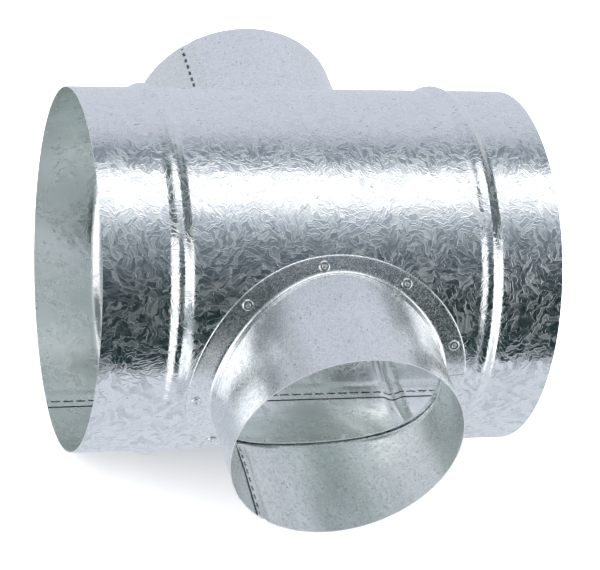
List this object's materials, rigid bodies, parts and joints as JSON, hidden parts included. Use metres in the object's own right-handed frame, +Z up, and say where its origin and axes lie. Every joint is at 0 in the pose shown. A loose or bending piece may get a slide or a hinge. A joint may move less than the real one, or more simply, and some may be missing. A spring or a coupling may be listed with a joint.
{
  "type": "round duct cross fitting",
  "caption": "Galvanised sheet-steel cross fitting that joins a round main duct to two smaller round branch ducts on opposite sides.",
  "frame": {"origin": "where the axes of the main duct and the branch duct cross, the centre of the whole fitting", "axes": "+X along the main tube, -Y out of the front collar and +Y out of the rear one, +Z up, square to both ducts"},
  "size_m": [0.25, 0.2896, 0.2044],
  "materials": {
    "tube_sheet": "spangled hot-dip galvanised sheet",
    "collar_sheet": "matt galvanised sheet, brightened where it was flared",
    "rivet": "plain blind rivet"
  },
  "bodies": {
    "root": {"main_tube": "tube_sheet", "front_collar": "collar_sheet", "rear_collar": "collar_sheet", "front_rivets": "rivet", "rear_rivets": "rivet"}
  },
  "joints": []
}
